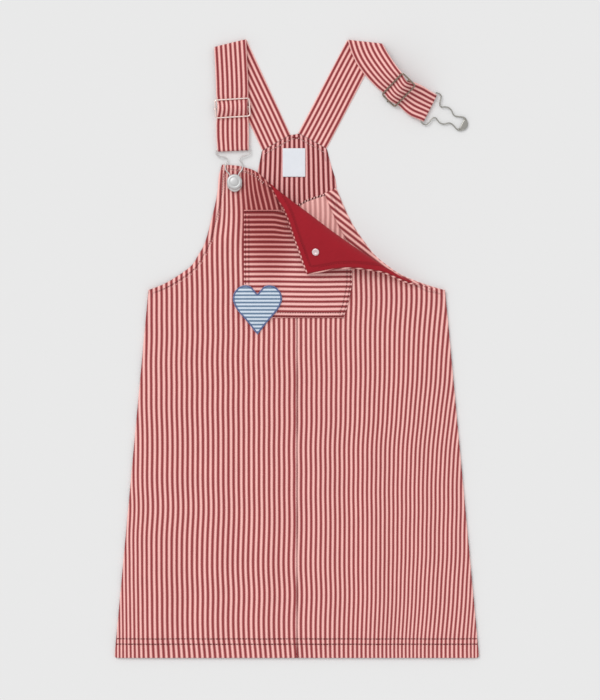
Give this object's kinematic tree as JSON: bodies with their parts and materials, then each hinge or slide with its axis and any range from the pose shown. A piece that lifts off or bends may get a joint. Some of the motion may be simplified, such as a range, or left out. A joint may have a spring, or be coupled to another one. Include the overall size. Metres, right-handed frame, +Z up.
{
  "type": "pinafore dress",
  "caption": "Child's striped pinafore dress laid flat, one bib corner turned down over its chest pocket, with dungaree straps, wire sliders and clips.",
  "frame": {"origin": "on the surface the dress lies on, under the middle of its outline box", "axes": "+Z up from the surface, +Y from the hem to the straps, +X to the right as its front is looked at"},
  "size_m": [0.3644, 0.619, 0.0238],
  "materials": {
    "striped_twill": "matt twill, dark red and pale pink stripes",
    "red_twill": "matt plain twill",
    "blue_stripe": "matt applique cloth with a satin stitched edge",
    "white_tape": "smooth woven tape",
    "steel": "nickel plated, lightly worn"
  },
  "bodies": {
    "root": {"front_left": "striped_twill", "front_right": "striped_twill", "bib_facing": "red_twill", "pocket": "striped_twill", "heart_patch": "blue_stripe", "back_skirt": "striped_twill", "back_yoke": "striped_twill", "armhole_facing": "striped_twill", "neck_label": "white_tape", "strap_left": "striped_twill", "strap_right": "striped_twill", "slider_left": "steel", "slider_right": "steel", "clip_left": "steel", "clip_right": "steel", "button_left": "steel", "button_right": "steel", "tack_left": "steel", "tack_right": "steel"}
  },
  "joints": []
}
